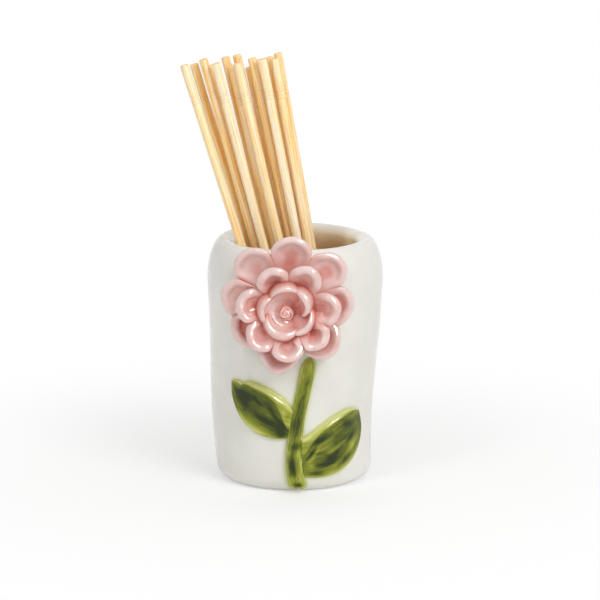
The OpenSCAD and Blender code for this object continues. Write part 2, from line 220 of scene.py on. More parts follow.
# Pink glaze: it gathers thick in each hollow, and painted shade darkens it wherever other petals close a
# place in
POOL_REACH = 7.0
POOL_RAYS = 20
POOL_LIFT = 0.06
POOL_LEAST = 0.19
POOL_HOLLOW = 0.36
CLOSED_SHADE = 0.8

# Stem. A stroke is its place along and across, half length, half width, lean and depth of colour
SLIP = 0.15
STEM_TOP_Z = BLOOM_Z - 16.0
STEM_FOOT_Z = 0.7
STEM_COURSE = [1.41, -2.4, 2.61, 4.48]
STEM_FOOT_W = 5.6
STEM_MID_W = 4.1
STEM_TOP_W = 4.8
STEM_H = 2.6
STEM_FULL = 0.9
STEM_END = 2.5
STEM_TAPER = 4.5
STEM_SUNK = 0.4
STEM_RINGS = 120
STEM_SIDES = 28
STEM_BACK = np.linspace(-0.9, 0.9, 9)
STEM_SHADE = 0.34
STEM_EDGE_PALE = 0.26
STEM_EDGE_SHARP = 3
STEM_END_PALE = 0.2
STEM_STROKES = [
    (0.8, 0, 0.1, 0.8, 0, 0.18), (0.66, -0.1, 0.08, 0.8, 0, 0.26), (0.5, -0.1, 0.1, 0.9, 0, 0.4),
    (0.35, 0.2, 0.035, 0.8, 0, 0.36), (0.2, -0.2, 0.08, 0.45, 0, 0.58), (0.06, 0.1, 0.02, 0.4, 0, 0.5),
]
BRUSH_LEN = 9.0
BRUSH_APART = 3.0

# Leaves
LEAF_RINGS = 72
LEAF_CELLS = 44
LEAF_BACK_STEP = 4
LEAF_GAP = 0.25
LEAF_TUCK = 0.5
LEAF_SUNK = 0.5
LEAF_ROUND = 0.12
LEAF_ROUND_END = 0.99
LEAF_NOTCH = 0.84
LEAF_NOTCH_RUN = 0.05
LEAF_FACE = 1.2
LEAF_EDGE = 0.16
LEAF_TOP_EDGE = 0.1
LEAF_HOLLOW = 0.25
LEAF_LEAST = 0.02
LEAF_TIP_SHARP = 6
LEAF_GROOVE = 0.35
LEAF_GROOVE_W = 0.06
LEAF_FOLD = 0.9
LEAF_FOLD_FULL = 0.8
LEAF_FOLD_ROOT = 0.4
LEAF_FOLD_BEND = 1.5
LEAF_ROOT_RUN = 0.12
LEAF_FADE = 0.6
LEAF_FADE_RUN = 0.3
RIM_PALE = 0.44
RIM_FADE = 1.3
FOLD_PALE = 0.2
FOLD_BLEND = 0.08
TIP_PALE = 0.2
TIP_FADE = 10
LEAVES = {
    "leaf_left": {
        "side": -1, "tip_share": 0.985, "seam_share": 0.41, "seam": 8.4, "reach": 17.6, "rise": 15.6,
        "fold": 0.88, "fold_root": 0.28, "fold_run": 0.22, "shade": 0.52, "notch": 0.9,
        "low_pull": [[0.45, -0.1], [1, 0.19]], "high_pull": [[0.09, 0.29], [0.51, 1.15]],
        "strokes": [
            (0.74, 0.47, 0.14, 0.24, 0.1, 0.5), (0.56, 0.66, 0.18, 0.13, 0, 0.3),
            (0.25, 0.56, 0.18, 0.07, 1.0, 0.36), (0.3, 0.36, 0.2, 0.1, 0.1, 0.42),
            (0.1, 0.17, 0.08, 0.2, 0, 0.42), (0.42, 0.1, 0.25, 0.1, 0, -0.22),
        ],
    },
    "leaf_right": {
        "side": 1, "tip_share": 0.95, "seam_share": 0.12, "seam": 11.8, "reach": 17.6, "rise": 18.6,
        "fold": 0.87, "fold_root": 0.5, "fold_run": 0.16, "shade": 0.52, "notch": 0,
        "low_pull": [[0.51, -0.11], [1.3, 0.13]], "high_pull": [[0.23, 0.07], [0.45, 1.08]],
        "strokes": [
            (0.3, 0.76, 0.14, 0.06, 0, 0.45), (0.37, 0.37, 0.14, 0.08, 0.1, 0.45),
            (0.27, 0.26, 0.14, 0.05, 0.1, 0.4), (0.68, 0.4, 0.1, 0.09, -0.4, 0.26),
            (0.7, 0.68, 0.08, 0.1, -0.5, 0.32), (0.14, 0.11, 0.08, 0.05, 0, 0.36),
            (0.47, 0.17, 0.08, 0.04, 0.3, 0.24), (0.8, 0.14, 0.08, 0.05, 0.6, 0.2),
            (0.88, 0.42, 0.06, 0.15, 0, 0.22), (0.52, 0.56, 0.14, 0.08, 0, 0.18),
            (0.13, 0.56, 0.09, 0.03, 1.5, 0.4), (0.16, 0.5, 0.1, 0.03, 1.5, -0.25),
            (0.1, 0.29, 0.05, 0.06, 0, -0.3), (0.44, 0.46, 0.1, 0.04, 0, -0.28),
            (0.6, 0.24, 0.12, 0.07, 0.3, -0.24),
        ],
    },
}

# Toothpicks
PICK_COUNT = 16
PICK_SIDES = 28
PICK_SLIM = 0.985
PICK_FLATS = 0.018
PICK_RIPPLE = 0.012
PICK_TWIST = 30.0
PICK_TURN = 2.4
END_SLICE = 0.05
POINT_LEN = 12.0
POINT_R = 0.4
POINT_FULL = 0.85
POINT_ROWS = 14
SHANK_END = 0.4
SHANK_ROWS = 30
GROOVE_DROP = 9.5
GROOVE_PITCH = 1.0
GROOVE_COUNT = 3
GROOVE_DEPTH = 0.14
GROOVE_W = 0.5
GROOVE_ROWS = 4
WORN_H = 0.35
WORN = 0.28
WORN_DROPS = [0.35, 0.25, 0.15, 0.05, 0.0]
CAP_SHARES = [0.66, 0.33]
CAP_DROPS = [0.01, 0.03]
CUT_H = 0.25
CUT_RUN = 0.2
RING_TINT = 0.1
# Painted shade: deep orange where a pick lies close to another
CREVICE_REACH = 1.2
CREVICE_SHARP = 1.7
GRAIN_APART = (7, 3)
TONE_SPREAD = 0.16
TONE_STEP = 0.618034
TONE_START = 0.13
# Painted shade: darker, more orange wood for some rows of the bundle
ROW_SHADES = [-0.04, 0.08, 0.02, 0.12]
FIBRE = 1.5
FIBRE_PALE = -0.4
FINE_FIBRE = 0.3

# Studio, in metres
WHITE = (1, 1, 1, 1)
WORLD_FILL = 0.46
FLOOR_HALF = 1.6
FLOOR_SHADOW_R = 0.16
FLOOR_WHITE = 0.4
LAMP_AIM = (0, 0, 0.06)
LAMPS = {
    "key_right": {"place": (0.42, -0.6, 0.58), "size": (0.34, 0.4), "power": 3.5},
    "fill_left": {"place": (-0.5, -0.65, 0.7), "size": (0.16, 0.5), "power": 1.8},
    "top": {"place": (0.0, 0.1, 1.0), "size": (0.6, 0.4), "power": 1.2},
    "glint": {"place": (0.42, -0.6, 0.6), "size": (0.45, 0.5), "power": 20.0, "glint": True},
}

# Camera, fitted to the outline of the cup in the photograph
CAMERA_TARGET = (1.7307, 0.0, 51.292)
CAMERA_DISTANCE = 900.0
CAMERA_ELEVATION = 12.5356
CAMERA_LENS = 187.94
CAMERA_SENSOR = 36.0


def lerp(a, b, t):
    return a + (b - a) * t


def smooth(t):
    t = np.clip(t, 0, 1)
    return t * t * (3 - 2 * t)


def quarter_round(t):
    """Height of a quarter circle, from 0 where t is 0 to 1 where t is 1 or more."""
    return np.sqrt(1 - (1 - np.clip(t, 0, 1)) ** 2)


def bell(offset, width):
    return np.exp(-((offset / width) ** 2))


def bezier(p, t):
    p = np.asarray(p, float)
    t = np.asarray(t, float)
    if p.ndim == 2:
        t = t[..., None]
    return p[0] * (1 - t) ** 3 + 3 * p[1] * t * (1 - t) ** 2 + 3 * p[2] * t**2 * (1 - t) + p[3] * t**3


def curve(p, t):
    """Points of a quadratic curve, from places that may vary along the piece."""
    return p[0] * (1 - t) ** 2 + 2 * p[1] * t * (1 - t) + p[2] * t**2


def soft_min(a, b):
    return a * b / (a**SOFTNESS + b**SOFTNESS) ** (1 / SOFTNESS)


def arc(centre, rx, rz, start, end, steps):
    a = np.radians(np.linspace(start, end, steps + 1))
    return np.stack([centre[0] + rx * np.cos(a), centre[1] + rz * np.sin(a)], 1)


def around(count):
    """Angles spread evenly round a circle."""
    return 2 * np.pi * np.arange(count) / count


def waves(a, i, terms):
    """Unevenness that differs from petal to petal. A term is its size, number of waves and phase."""
    return sum(size * np.sin(count * a + phase * i) for size, count, phase in terms)


def wall_r(z):
    """Outside radius of the cup at a height."""
    z = np.asarray(z, float)
    foot = FOOT_R + np.sqrt(np.clip(FOOT_ROUND**2 - (FOOT_ROUND - z) ** 2, 0, None))
    wall = lerp(BASE_R, BODY_R, (z - FOOT_ROUND) / (SHOULDER_Z - FOOT_ROUND))
    dome = np.clip(1 - ((z - SHOULDER_Z) / SHOULDER_H) ** 2, 0, None)
    shoulder = CREST_R + (BODY_R - CREST_R) * np.sqrt(dome)
    return np.where(z < FOOT_ROUND, foot, np.where(z < SHOULDER_Z, wall, shoulder))


def sway(z):
    """Sideways lean of the hand-formed cup at a height."""
    return SWAY * bell(z - SWAY_Z, SWAY_SPAN)


def on_wall(along, z, h):
    """Points at an arc length along the wall from the front, standing off by h, set on the swaying wall."""
    r = wall_r(z)
    x = (r + h) * np.sin(along / r)
    y = -np.sqrt(np.clip((r + h) ** 2 - (x - sway(z)) ** 2, 0, None))
    return np.stack([x, y, z + 0 * x], -1)


def on_bloom(u, v, w):
    """Points across, up and out from the bloom's centre, bent part of the way round the wall."""
    x = BLOOM_X + u
    bend = np.sqrt(np.clip(BODY_R**2 - x**2, 0, None))
    return np.stack([x, -lerp(BODY_R, bend, BLOOM_HUG) - w, BLOOM_Z + v], -1)


def loft_faces(rows, cols):
    """Quads between rings of the same number of points."""
    i = np.arange(cols)
    j = (i + 1) % cols
    return [
        (k * cols + a, k * cols + b, (k + 1) * cols + b, (k + 1) * cols + a)
        for k in range(rows - 1)
        for a, b in zip(i.tolist(), j.tolist())
    ]


def add_piece(name, points, faces, attributes, body, node, material):
    """Makes a smooth mesh that stands for a CAD node and rides on its body."""
    mesh = bpy.data.meshes.new(name)
    mesh.from_pydata((np.asarray(points) * MM).tolist(), [], faces)
    mesh.validate()
    mesh.shade_smooth()
    for key, values in attributes.items():
        values = np.asarray(values, np.float32)
        kind = "FLOAT_VECTOR" if values.ndim == 2 else "FLOAT"
        layer = mesh.attributes.new(key, kind, "POINT")
        layer.data.foreach_set("vector" if values.ndim == 2 else "value", values.ravel())
    mesh.materials.append(material)
    piece = bpy.data.objects.new(name, mesh)
    bpy.context.scene.collection.objects.link(piece)
    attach(piece, body)
    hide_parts(node)
    return piece


def loft_piece(name, rings, attributes, body, node, material):
    """A closed piece through rings, with a point at the middle of its first and last ring."""
    rows, cols = rings.shape[:2]
    points = np.concatenate([rings.reshape(-1, 3), rings[:1].mean(1), rings[-1:].mean(1)])
    first, last = rows * cols, rows * cols + 1
    faces = loft_faces(rows, cols)
    for i in range(cols):
        j = (i + 1) % cols
        faces.append((j, i, first))
        faces.append(((rows - 1) * cols + i, (rows - 1) * cols + j, last))
    full = {}
    for key, values in attributes.items():
        values = np.asarray(values, float)
        flat = values.reshape(rows * cols, *values.shape[2:])
        ends = np.stack([values[0].mean(0), values[-1].mean(0)])
        full[key] = np.concatenate([flat, ends])
    return add_piece(name, points, faces, full, body, node, material)


def glazed_piece(node, rings, attributes, material):
    return loft_piece(node + "_glazed", rings, attributes, "holder", node, material)


def new_material(name):
    material = bpy.data.materials.new(name)
    material.use_nodes = True
    return material, material.node_tree, material.node_tree.nodes["Principled BSDF"]


def add_node(tree, kind, settings=None, inputs=None):
    """A node with its settings, and its inputs set to values or linked to sockets."""
    made = tree.nodes.new(kind)
    for key, value in (settings or {}).items():
        setattr(made, key, value)
    set_inputs(tree, made, inputs or {})
    return made


def set_inputs(tree, node, inputs):
    for key, value in inputs.items():
        set_input(tree, node.inputs[key], value)


def set_input(tree, socket, value):
    if isinstance(value, bpy.types.NodeSocket):
        tree.links.new(value, socket)
    else:
        socket.default_value = value


def srgb(r, g, b):
    """A colour given as it looks on screen, 0 to 255, as linear values."""
    c = np.array([r, g, b]) / 255
    linear = np.where(c <= 0.04045, c / 12.92, ((c + 0.055) / 1.055) ** 2.4)
    return (*linear.tolist(), 1.0)


def ramp(tree, factor, stops):
    made = add_node(tree, "ShaderNodeValToRGB", inputs={"Fac": factor})
    band = made.color_ramp
    while len(band.elements) < len(stops):
        band.elements.new(0.5)
    for element, (place, colour) in zip(band.elements, stops):
        element.position = place
        element.color = srgb(*colour)
    return made.outputs["Color"]


def math_node(tree, operation, a, b=0.0, c=0.0, clamp=False):
    settings = {"operation": operation, "use_clamp": clamp}
    return add_node(tree, "ShaderNodeMath", settings, {0: a, 1: b, 2: c}).outputs[0]


def centred(tree, value, spread):
    """A value from 0 to 1 as a change from minus half to plus half of the spread."""
    return math_node(tree, "MULTIPLY_ADD", value, spread, -spread / 2)


def map_range(tree, inputs, interpolation="LINEAR"):
    settings = {"interpolation_type": interpolation}
    return add_node(tree, "ShaderNodeMapRange", settings, inputs).outputs["Result"]


def mix_colour(tree, factor, a, b):
    made = add_node(tree, "ShaderNodeMix", {"data_type": "RGBA"})
    for key, value in (("Factor_Float", factor), ("A_Color", a), ("B_Color", b)):
        set_input(tree, next(s for s in made.inputs if s.identifier == key), value)
    return next(s for s in made.outputs if s.identifier == "Result_Color")


def attribute(tree, name, output="Fac"):
    return add_node(tree, "ShaderNodeAttribute", {"attribute_name": name}).outputs[output]


def object_place(tree):
    return add_node(tree, "ShaderNodeTexCoord").outputs["Object"]


def noise(tree, vector, scale=1.0, detail=3.0, roughness=0.5, distortion=0.0):
    inputs = {
        "Vector": vector, "Scale": scale, "Detail": detail, "Roughness": roughness, "Distortion": distortion,
    }
    return add_node(tree, "ShaderNodeTexNoise", inputs=inputs).outputs["Fac"]


def stretched(tree, vector, scale):
    inputs = {"Vector": vector, "Scale": scale}
    return add_node(tree, "ShaderNodeMapping", inputs=inputs).outputs["Vector"]


def bump(tree, height, strength, distance):
    inputs = {"Height": height, "Strength": strength, "Distance": distance}
    return add_node(tree, "ShaderNodeBump", inputs=inputs).outputs["Normal"]


def glaze(name, colour_of, ripple=0.12, gloss=1.5):
    """A glossy fired glaze: a soft body under a clear coat, with a faint ripple."""
    material, tree, shader = new_material(name)
    place = object_place(tree)
    mottle = noise(tree, place, scale=300.0)
    normal = bump(tree, noise(tree, place, scale=110.0, detail=1.0), strength=ripple, distance=0.0012)
    set_inputs(tree, shader, {
        "Base Color": colour_of(tree, place),
        "Roughness": map_range(tree, {"Value": mottle, "To Min": 0.24, "To Max": 0.32}),
        "Normal": normal,
        "Coat Normal": normal,
        "Specular IOR Level": 0.0,
        "Coat Weight": 1.0,
        "Coat Roughness": 0.05,
        "Coat IOR": gloss,
    })
    return material


def white_colour(tree, place):
    cloud = noise(tree, place, scale=70.0, detail=4.0)
    body = ramp(tree, cloud, [(0.3, (224, 222, 214)), (0.7, (232, 231, 225))])
    # painted shade inside the cup: warm beige growing with depth below the lip, standing for shade and light
    # bounced off the picks
    depth = attribute(tree, "depth")
    painted_inside_shade = ramp(
        tree, depth,
        [
            (0.0, (229, 227, 220)), (0.012, (236, 228, 212)), (0.03, (250, 230, 200)),
            (0.1, (254, 226, 186)), (1.0, (250, 216, 172)),
        ],
    )
    colour = mix_colour(tree, math_node(tree, "GREATER_THAN", depth, 0.0), body, painted_inside_shade)
    colour = mix_colour(tree, attribute(tree, "green_bleed"), colour, srgb(196, 202, 120))
    colour = mix_colour(tree, attribute(tree, "pink_bleed"), colour, srgb(224, 186, 180))
    speck = noise(tree, place, scale=1400.0, detail=2.0)
    clay = ramp(tree, speck, [(0.2, (206, 194, 172)), (0.8, (226, 216, 198))])
    return mix_colour(tree, attribute(tree, "bare"), colour, clay)


def pink_colour(tree, place):
    fine = noise(tree, place, scale=520.0, detail=5.0, roughness=0.62)
    broad = noise(tree, place, scale=170.0, detail=2.0)
    uneven = math_node(tree, "ADD", centred(tree, fine, spread=0.3), centred(tree, broad, spread=0.5))
    # gathered glaze and painted shade, held in one layer, darken the pink
    pool_and_shade = math_node(tree, "ADD", attribute(tree, "pool_and_shade"), uneven, clamp=True)
    return ramp(
        tree, pool_and_shade,
        [
            (0.0, (233, 213, 209)), (0.22, (228, 194, 188)), (0.48, (221, 171, 162)),
            (0.74, (211, 140, 129)), (1.0, (191, 98, 88)),
        ],
    )


def green_colour(tree, place):
    course = attribute(tree, "course", "Vector")
    brush = noise(tree, stretched(tree, course, (1.6, 9.0, 1.0)), detail=4.0, roughness=0.6, distortion=0.6)
    wash = noise(tree, stretched(tree, course, (2.2, 3.0, 1.0)), detail=3.0, roughness=0.5, distortion=0.8)
    uneven = math_node(tree, "ADD", centred(tree, brush, spread=0.5), centred(tree, wash, spread=0.6))
    shade = math_node(tree, "ADD", attribute(tree, "shade"), uneven, clamp=True)
    return ramp(
        tree, shade,
        [
            (0.0, (206, 208, 138)), (0.18, (178, 183, 80)), (0.4, (136, 143, 38)),
            (0.62, (84, 94, 14)), (0.85, (40, 50, 6)),
        ],
    )


def pale_wood():
    material, tree, shader = new_material("pale_wood")
    grain = attribute(tree, "grain", "Vector")
    fibre = noise(tree, stretched(tree, grain, (2.6, 2.6, 0.035)), detail=4.0, roughness=0.6)
    fine = noise(tree, stretched(tree, grain, (7.0, 7.0, 0.12)), detail=2.0, roughness=0.5)
    broad_streak = math_node(tree, "MULTIPLY_ADD", fibre, FIBRE, FIBRE_PALE)
    streak = math_node(tree, "ADD", broad_streak, math_node(tree, "MULTIPLY", fine, FINE_FIBRE))
    # this layer holds the pick's own wood tone with the painted shade of its row
    streak = math_node(tree, "ADD", streak, attribute(tree, "tone_and_row_shade"), clamp=True)
    colour = ramp(
        tree, streak,
        [(0.28, (255, 241, 219)), (0.48, (255, 230, 184)), (0.66, (255, 210, 132)), (0.86, (250, 178, 76))],
    )
    # painted shade between picks that lie close
    colour = mix_colour(tree, attribute(tree, "crevice_shade"), colour, srgb(172, 58, 2))
    colour = mix_colour(tree, attribute(tree, "cut"), colour, srgb(240, 200, 140))
    set_inputs(tree, shader, {
        "Base Color": mix_colour(tree, attribute(tree, "ring"), colour, srgb(206, 140, 70)),
        "Normal": bump(tree, streak, strength=0.35, distance=0.0004),
        "Subsurface Weight": 0.3,
        "Subsurface Radius": (1.0, 0.5, 0.2),
        "Subsurface Scale": 1.5 * MM,
        "Roughness": 0.55,
        "Specular IOR Level": 0.35,
    })
    return material


def cup_profile():
    """Section of the cup from the middle of its underside, round foot and lip, to the middle of its floor.

    With it come the depth below the lip and the share of bare clay at each point.
    """
    recess = np.array([[RECESS_R - back * FOOT_RECESS, rise * FOOT_RECESS] for back, rise in RECESS_EDGE])
    foot = arc((FOOT_R, FOOT_ROUND), FOOT_ROUND, FOOT_ROUND, -90, 0, steps=14)
    wall_z = np.linspace(FOOT_ROUND, SHOULDER_Z, num=82)[1:-1]
    wall = np.stack([wall_r(wall_z), wall_z], 1)
    shoulder = arc((CREST_R, SHOULDER_Z), BODY_R - CREST_R, SHOULDER_H, 0, 90, steps=30)
    lip = arc((CREST_R, LIP_Z), LIP_R, LIP_R, 90, 180, steps=18)[1:]
    t = np.linspace(0, 1, num=22)[1:]
    flare_r = lerp(MOUTH_R, BODY_R - WALL_T, (1 - np.cos(np.pi * t)) / 2)
    flare = np.stack([flare_r, LIP_Z - (SHOULDER_H - LIP_R) * t], 1)
    fillet_z = FLOOR_T + FLOOR_FILLET
    inner_z = np.linspace(SHOULDER_Z, fillet_z, num=40)[1:-1]
    inner = np.stack([wall_r(inner_z) - WALL_T, inner_z], 1)
    floor_r = wall_r(fillet_z) - WALL_T - FLOOR_FILLET
    fillet = arc((floor_r, fillet_z), FLOOR_FILLET, FLOOR_FILLET, 0, -90, steps=8)
    across = np.linspace(floor_r, CENTRE_R, num=10)[1:]
    floor = np.stack([across, np.full_like(across, FLOOR_T)], 1)
    outside = np.concatenate([[[CENTRE_R, FOOT_RECESS]], recess, foot, wall, shoulder])
    inside = np.concatenate([flare, inner, fillet, floor])
    section = np.concatenate([outside, lip, inside])
    on_lip = LIP_DEPTH * (np.arange(1, len(lip) + 1) / len(lip)) ** 2
    below = lerp(LIP_DEPTH, 1, np.clip((LIP_Z - inside[:, 1]) / LIP_Z, 0, 1))
    depth = np.concatenate([np.zeros(len(outside)), on_lip, below])
    from_foot = np.arange(len(section)) - 1 - len(recess)
    bare = np.where((from_foot >= -BARE_ROWS) & (from_foot < BARE_ROWS), 1.0, 0.0)
    return section, depth, bare


def lip_swell(a):
    """How far the lip reaches inwards round the mouth, up to where a pick leans on it."""
    swell = sum(most * bell(np.degrees(a) - side, half) for side, half, most in LIP_SWELLS)
    return swell * smooth((LIP_TOUCH - np.degrees(a)) / LIP_TOUCH_RUN)


def cup_points(section):
    """The section turned round the axis, with the unevenness of a hand-formed cup."""
    a = around(CUP_SIDES)
    r, z = section[:, :1], section[:, 1:]
    r = r - lip_swell(a) * np.where(z > SHOULDER_Z, smooth((CREST_R - r) / LIP_R), 0)
    lobes = 1 + OVAL * np.sin(2 * a + OVAL_TURN) + TRILOBE * np.sin(3 * a + z / TRILOBE_TWIST)
    lobes = lobes + RIGHT_SWELL * smooth((np.sin(a) - RIGHT_START) / (1 - RIGHT_START))
    x = r * lobes * np.sin(a) + sway(z)
    y = -r * lobes * np.cos(a)
    return np.stack([x, y, z + 0 * x], -1)


def bleed(points, tree, reach):
    """Share of colour that has run from nearby relief onto each point of the wall."""
    shares = np.zeros(len(points))
    for i, p in enumerate(points):
        if p[1] < 0:
            distance = tree.find_nearest(Vector(p * MM), reach * MM)[3]
            if distance is not None:
                shares[i] = (1 - distance / (reach * MM)) ** 2
    return shares


def make_cup(material, green_tree, pink_tree):
    section, depth, bare = cup_profile()
    rings = cup_points(section)
    a = around(CUP_SIDES)
    depth, bare = depth[:, None] + 0 * a, bare[:, None] + 0 * a
    # painted light: on the left inside, where light from the right falls, the painted shade starts lower
    left = np.clip(-np.sin(a), 0, 1) ** 2
    painted_inside_shade = np.where(depth > 0, np.maximum(depth - LEFT_PAINTED_LIGHT * left, INSIDE_LEAST), 0)
    outside = depth == 0
    green, pink = np.zeros(depth.shape), np.zeros(depth.shape)
    green[outside] = GREEN_BLEED * bleed(rings[outside], green_tree, GREEN_BLEED_REACH)
    pink[outside] = PINK_BLEED * bleed(rings[outside], pink_tree, PINK_BLEED_REACH)
    # the depth layer carries the painted shade inside the cup
    layers = {"depth": painted_inside_shade, "bare": bare, "green_bleed": green, "pink_bleed": pink}
    return glazed_piece("cup", rings, layers, material)


def rolled(d, h, half, turns):
    """Closed section of a thick sheet along its middle line, with a round lip at the end of the line."""
    run, climb = np.gradient(d, axis=0), np.gradient(h, axis=0)
    size = np.hypot(run, climb)
    run, climb = run / size, climb / size
    turn = np.linspace(0, np.pi, turns + 2)[1:-1, None]
    lip_d = d[-1] + half[-1] * (-climb[-1] * np.cos(turn) + run[-1] * np.sin(turn))
    lip_h = h[-1] + half[-1] * (run[-1] * np.cos(turn) + climb[-1] * np.sin(turn))
    all_d = np.concatenate([d - climb * half, lip_d, (d + climb * half)[::-1]])
    all_h = np.concatenate([h + run * half, lip_h, (h - run * half)[::-1]])
    return all_d, all_h


def petal_outline(whorl, i, a):
    """Middle of a petal, its edge along and across from there, and how its neighbours crowd that edge."""
    angles = whorl["angles"]
    lobe = whorl["lobe"] * whorl["widths"][i]
    middle = whorl["reach"] + whorl["trims"][i] - lobe
    after = np.radians((angles[(i + 1) % len(angles)] - angles[i]) % 360 / 2)
    before = np.radians((angles[i] - angles[i - 1]) % 360 / 2)
    uneven = 1 + waves(a, i, EDGE_WAVES)
    tip = 1 + whorl["points"][i] * np.clip(np.cos(a), 0, 1) ** TIP_SHARP
    along = np.cos(a) * np.where(np.cos(a) > 0, lobe * tip, middle - whorl["root"]) * uneven
    sector = np.where(np.sin(a) > 0, after, before)
    room = ((middle + along) * np.sin(sector) + PETAL_LAP) / np.cos(sector)
    free = lobe * np.abs(np.sin(a)) * uneven
    return middle, along, np.sign(np.sin(a)) * soft_min(free, room), free / room


def fill_creases(h, crowding):
    """Fills the outer side of the lip with glaze where a petal meets its neighbour."""
    row = np.arange(len(h))[:, None]
    near_lip = (row >= PETAL_RINGS - LIP_ROWS) & (row <= PETAL_RINGS + LIP_TURNS // 2)
    lip_h = np.where(near_lip, h, -np.inf)
    ridge = np.max(lip_h, axis=0)
    edge = near_lip & (row >= np.argmax(lip_h, axis=0))
    fill = CREASE_FILL * smooth((crowding - CREASE_FROM) / (1 - CREASE_FROM))
    return np.where(edge, ridge - (ridge - h) * (1 - fill), h)


def petal_pool_and_shade(whorl, i, share, bowl):
    """How dark the glaze of a petal is: in its bowl, where glaze gathers and painted shade falls, on its lip
    and on its back.
    """
    spread = whorl["spreads"][i]
    fade = np.maximum(lerp(POOL_FADE, 1, bowl) - spread, POOL_FADE_LEAST)
    inside = whorl["pool_and_shade_levels"][i] * (1 - smooth((share - spread) / fade))
    lip = np.zeros((LIP_TURNS, PETAL_SIDES))
    back = np.full((PETAL_RINGS, PETAL_SIDES), BACK_POOL)
    return np.concatenate([inside, lip, back])


def bowl_petal(whorl, i):
    """Rings of a cupped petal with a rolled lip, from the middle of its bowl over the lip to its back."""
    a = around(PETAL_SIDES) + np.pi / PETAL_SIDES
    middle, along, across, crowding = petal_outline(whorl, i, a)
    length = np.hypot(along, across)
    lip_t = whorl["lip"]
    share = np.linspace(PETAL_START, 1, PETAL_RINGS)[:, None]
    d = share * (length - lip_t / 2)
    bowl = np.clip(1 - LIP_W / (length - lip_t / 2), LEAST_BOWL, 1)
    rim = whorl["dish"] * (1 + waves(a, i, RIM_WAVES)) * smooth((1 + np.cos(a)) / 2 / whorl["turn"])
    dished = rim * lerp(smooth((share - bowl) / (BOWL_OVER - bowl)), share**2, whorl["round"])
    s, t = d * along / length, d * across / length
    tilted = whorl["tilt"] * (middle + s - whorl["root"]) + whorl["rolls"][i] * t
    h = whorl["base"] + tilted + dished - PETAL_T / 2
    half = lerp(PETAL_T, lip_t, smooth((share - bowl) / (1 - bowl))) / 2
    d, h = rolled(d, h, half, LIP_TURNS)
    h = fill_creases(h, crowding)
    s, t = middle + d * along / length, d * across / length
    turn = np.radians(whorl["angles"][i])
    u = s * np.cos(turn) - t * np.sin(turn)
    v = s * np.sin(turn) + t * np.cos(turn)
    return on_bloom(u, v - whorl["drop"], h)[:, ::-1], petal_pool_and_shade(whorl, i, share, bowl)[:, ::-1]


def cavity_shade(angle):
    """Painted shade in the cavity: darker on its right side, turned from the light, and paler on its lit
    left.
    """
    return CAVITY_SHADE_MEAN + CAVITY_SHADE * np.cos(angle - CAVITY_SHADE_TURN)


def crescent_petal(whorl, i):
    """Rings of an upright petal: its inside curves up to a rolled lip and its outside slopes off."""
    tau = np.linspace(-INNER_END, INNER_END, INNER_RINGS)[:, None]
    angle = np.radians(whorl["angles"][i] + whorl["spans"][i] * tau)
    arch = np.cos(tau * np.pi / 2)
    full = arch ** whorl["blunt"]
    lip_r = whorl["lips"][i] + whorl["spirals"][i] * tau + whorl["bow"] * (arch - whorl["bow_from"])
    half_w = whorl["widths"][i] * lerp(whorl["end_w"], 1, full) * (1 + waves(tau, i, WIDTH_WAVES))
    top = lerp(whorl["foot"] + whorl["end_h"], whorl["tops"][i], full) + waves(tau, i, CREST_WAVES)
    roll = whorl["roll"] * half_w
    middle = top - roll
    start, end = np.radians(INNER_LIP_ARC)
    t = np.linspace(0, 1, INNER_STEPS)
    turn = np.linspace(start, end, INNER_TURNS + 2)[1:-1]
    floor_r = lerp(lip_r - whorl["seat"] * roll, whorl["floor_r"], full)
    floor = whorl["floor"] - whorl["sag"] * (1 - arch)
    inner_r = curve([floor_r, lip_r - whorl["steep"] * roll, lip_r + roll * np.cos(start)], t)
    inner_w = curve([floor, floor + whorl["lift"], middle + roll * np.sin(start)], t)
    flank, spread = lip_r + whorl["flank"] * half_w, lip_r + whorl["spread"] * half_w
    outer_r = curve([lip_r + roll * np.cos(end), flank, spread], t)
    outer_w = curve([middle + roll * np.sin(end), middle - roll, whorl["foot"] + 0 * tau], t)
    r = np.concatenate([inner_r, lip_r + roll * np.cos(turn), outer_r, floor_r], 1)
    w = np.concatenate([inner_w, middle + roll * np.sin(turn), outer_w, floor - whorl["under"]], 1)
    # painted shade: the inside faces darken towards the right of the cavity
    inside = cavity_shade(angle) * (1 - t) ** INSIDE_FADE
    rest = np.concatenate([0 * turn, FLANK_POOL * t, [1.0]]) + 0 * tau
    hollow_and_shade = np.concatenate([inside, rest], 1) + END_POOL * (1 - arch) ** 2
    return on_bloom(r * np.cos(angle), r * np.sin(angle) - whorl["drop"], w), hollow_and_shade


